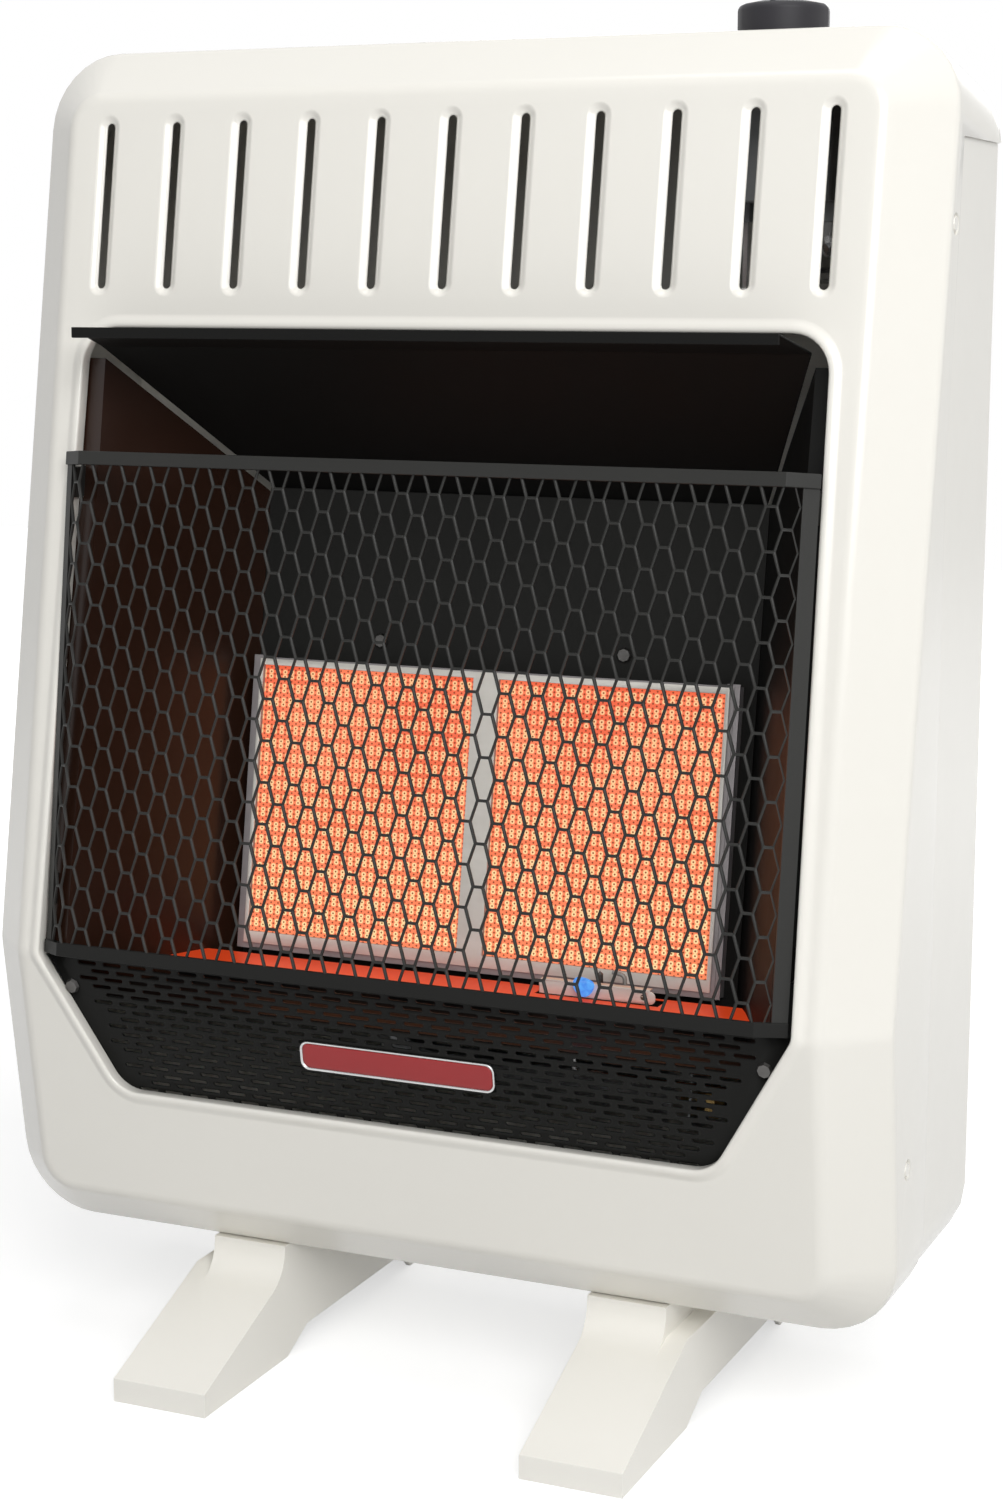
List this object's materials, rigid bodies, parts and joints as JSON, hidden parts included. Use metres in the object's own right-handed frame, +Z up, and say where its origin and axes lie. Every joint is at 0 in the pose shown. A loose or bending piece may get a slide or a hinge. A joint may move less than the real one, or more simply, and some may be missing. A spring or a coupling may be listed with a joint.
{
  "type": "infrared plaque heater",
  "caption": "Free-standing gas heater with glowing ceramic plaques behind an expanded-metal guard, in an enamelled steel cabinet on two feet.",
  "frame": {"origin": "on the floor, under the middle of the two feet", "axes": "+Z up, -Y out of the front, +X to the right seen from the front"},
  "size_m": [0.4762, 0.262, 0.6752],
  "materials": {
    "cream_enamel": "smooth semi-gloss enamel",
    "gloss_black": "glossy heat-proof enamel",
    "black_paint": "satin heat-proof paint",
    "panel_grey": "matt heat-proof paint",
    "guard_black": "satin paint",
    "burner_steel": "bare sheet, heat-tinted",
    "galvanised": "zinc-coated sheet",
    "ceramic": "porous ceramic with a fine grid of holes",
    "fibre": "pressed ceramic fibre and white insulator",
    "brass": "turned",
    "cast_alloy": "as cast",
    "bright_steel": "bright zinc-plated steel",
    "copper": "drawn copper",
    "lead_sleeve": "silicone sleeve",
    "black_plastic": "moulded, satin",
    "foot_plastic": "moulded, satin"
  },
  "bodies": {
    "cabinet": {"front_shell": "cream_enamel", "back_casing": "cream_enamel", "side_screw_right_upper": "cream_enamel", "side_screw_right_lower": "cream_enamel", "side_screw_left_upper": "cream_enamel", "side_screw_left_lower": "cream_enamel", "firebox_left_side": "gloss_black", "firebox_right_side": "gloss_black", "firebox_floor": "gloss_black", "firebox_back": "black_paint", "deflector_hood": "black_paint", "louver_screw_left": "black_paint", "louver_screw_right": "black_paint", "burner_panel": "panel_grey", "louver_panel": "guard_black", "burner_frame": "burner_steel", "burner_box": "galvanised", "mixer_tube": "galvanised", "injector_bracket": "galvanised", "valve_bracket": "galvanised", "plaque_left": "ceramic", "plaque_right": "ceramic", "gasket_left": "fibre", "gasket_right": "fibre", "spark_electrode": "fibre", "injector": "brass", "inlet_fitting": "brass", "gas_valve": "cast_alloy", "regulator": "cast_alloy", "burner_screw_left": "bright_steel", "burner_screw_right": "bright_steel", "pilot_bracket": "bright_steel", "pilot_burner": "bright_steel", "knob_spring": "bright_steel", "supply_tube": "bright_steel", "burner_tube": "bright_steel", "pilot_tube": "bright_steel", "foot_screw_left_front": "bright_steel", "foot_screw_left_rear": "bright_steel", "foot_screw_right_front": "bright_steel", "foot_screw_right_rear": "bright_steel", "thermocouple": "copper", "thermocouple_lead": "copper", "ignition_lead": "lead_sleeve", "foot_left": "foot_plastic", "foot_right": "foot_plastic"},
    "knob_plunger": {"spring_collar": "bright_steel"},
    "knob": {"control_knob": "black_plastic", "valve_stem": "bright_steel"},
    "guard": {"guard_screen": "guard_black", "guard_top_rail": "guard_black", "guard_bottom_rail": "guard_black"}
  },
  "joints": [
    {"name": "knob_push", "type": "slide", "parent": "cabinet", "child": "knob_plunger", "axis": [0, 0, -1], "range_m": [0, 0.004], "stiffness_N_per_m": 1500, "springref_m": -0.004, "deforming": ["knob_spring"]},
    {"name": "knob_turn", "type": "hinge", "parent": "knob_plunger", "child": "knob", "pos_m": [0.143, 0.039, 0.66], "axis": [0, 0, 1], "range_deg": [0, 190]},
    {"name": "guard_pull", "type": "slide", "parent": "cabinet", "child": "guard", "axis": [0, -1, 0], "range_m": [0, 0.09]}
  ]
}
